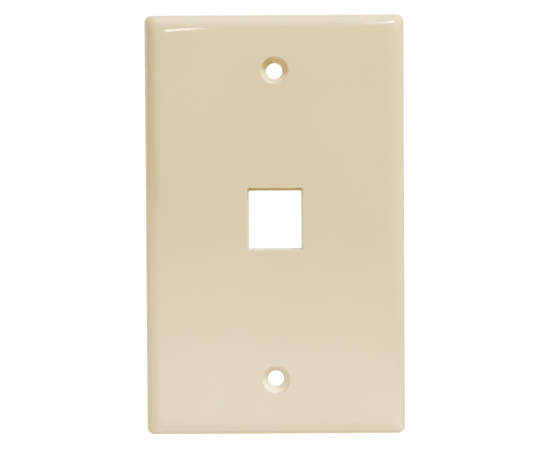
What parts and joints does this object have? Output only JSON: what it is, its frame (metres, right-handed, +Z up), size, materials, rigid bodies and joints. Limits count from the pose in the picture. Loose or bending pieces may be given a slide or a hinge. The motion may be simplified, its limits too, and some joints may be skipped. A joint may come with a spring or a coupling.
{
  "type": "wall plate cover",
  "caption": "Rectangular moulded wall plate with rolled edges that covers a wall box and holds a snap-in jack in its port, with its mounting screws stored behind it.",
  "frame": {"origin": "middle of the wall plane, which the rim of the plate rests on", "axes": "+Z up along the plate's height, +Y into the wall, +X to the right as seen from the front"},
  "size_m": [0.0706, 0.0098, 0.1142],
  "materials": {
    "ivory_plastic": "smooth glossy injection-moulded plastic, light almond ivory",
    "painted_screw": "zinc-plated steel with an ivory painted head"
  },
  "bodies": {
    "plate": {"wall_plate": "ivory_plastic"},
    "left_screw": {"mounting_screw_left": "painted_screw"},
    "right_screw": {"mounting_screw_right": "painted_screw"}
  },
  "joints": [
    {"name": "left_screw_removal", "type": "slide", "parent": "plate", "child": "left_screw", "axis": [0, 1, 0], "range_m": [0, 0.02]},
    {"name": "right_screw_removal", "type": "slide", "parent": "plate", "child": "right_screw", "axis": [0, 1, 0], "range_m": [0, 0.02]}
  ]
}
